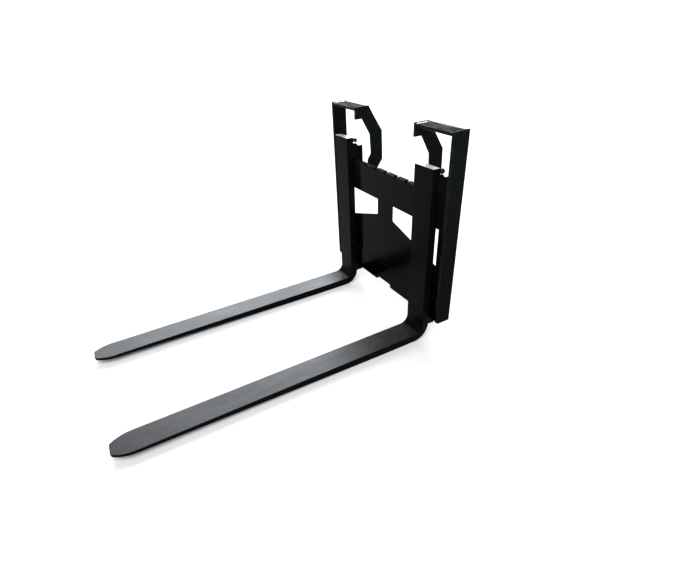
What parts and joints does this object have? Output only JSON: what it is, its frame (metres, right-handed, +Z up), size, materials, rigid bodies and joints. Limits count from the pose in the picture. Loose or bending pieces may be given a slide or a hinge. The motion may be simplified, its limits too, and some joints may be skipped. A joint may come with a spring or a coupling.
{
  "type": "pallet fork attachment",
  "caption": "Hook-type pallet fork carriage with notched upper bar, gusseted lower bar, tall side hangers and two sliding L-shaped forks with knobbed lock pins.",
  "frame": {"origin": "centre of the footprint, on the floor under the blades, forks at their widest lock position", "axes": "+Y from the blade tips back to the machine, +X to the operator's left, +Z up"},
  "size_m": [0.78, 1.3724, 0.821],
  "materials": {
    "carriage_paint": "gloss black enamel on welded plate",
    "fork_paint": "semi-gloss black enamel on forged steel",
    "pin_steel": "blackened steel",
    "knob_plastic": "black moulded ball knob",
    "spring_steel": "plain spring steel"
  },
  "bodies": {
    "carriage": {"upper_carriage_bar": "carriage_paint", "lower_carriage_bar": "carriage_paint", "centre_gusset_plate": "carriage_paint", "left_side_bar": "carriage_paint", "left_upright": "carriage_paint", "left_header_plate": "carriage_paint", "left_hanger_plate": "carriage_paint", "right_side_bar": "carriage_paint", "right_upright": "carriage_paint", "right_header_plate": "carriage_paint", "right_hanger_plate": "carriage_paint"},
    "left_fork": {"left_fork": "fork_paint", "left_top_hook": "fork_paint", "left_bottom_hook": "fork_paint", "left_pin_retainer": "pin_steel", "left_lock_spring": "spring_steel"},
    "left_lock_pin": {"left_lock_pin": "pin_steel", "left_lock_handle": "pin_steel", "left_handle_knob": "knob_plastic", "left_handle_roll_pin": "spring_steel"},
    "right_fork": {"right_fork": "fork_paint", "right_top_hook": "fork_paint", "right_bottom_hook": "fork_paint", "right_pin_retainer": "pin_steel", "right_lock_spring": "spring_steel"},
    "right_lock_pin": {"right_lock_pin": "pin_steel", "right_lock_handle": "pin_steel", "right_handle_knob": "knob_plastic", "right_handle_roll_pin": "spring_steel"}
  },
  "joints": [
    {"name": "left_fork_slide", "type": "slide", "parent": "carriage", "child": "left_fork", "axis": [1, 0, 0], "range_m": [-0.2112, 0]},
    {"name": "right_fork_slide", "type": "slide", "parent": "carriage", "child": "right_fork", "axis": [-1, 0, 0], "range_m": [-0.2112, 0]},
    {"name": "left_lock_pin_lift", "type": "slide", "parent": "left_fork", "child": "left_lock_pin", "axis": [0, 0, 1], "range_m": [-0.008, 0], "deforming": ["left_lock_spring"]},
    {"name": "right_lock_pin_lift", "type": "slide", "parent": "right_fork", "child": "right_lock_pin", "axis": [0, 0, 1], "range_m": [-0.008, 0], "deforming": ["right_lock_spring"]}
  ]
}
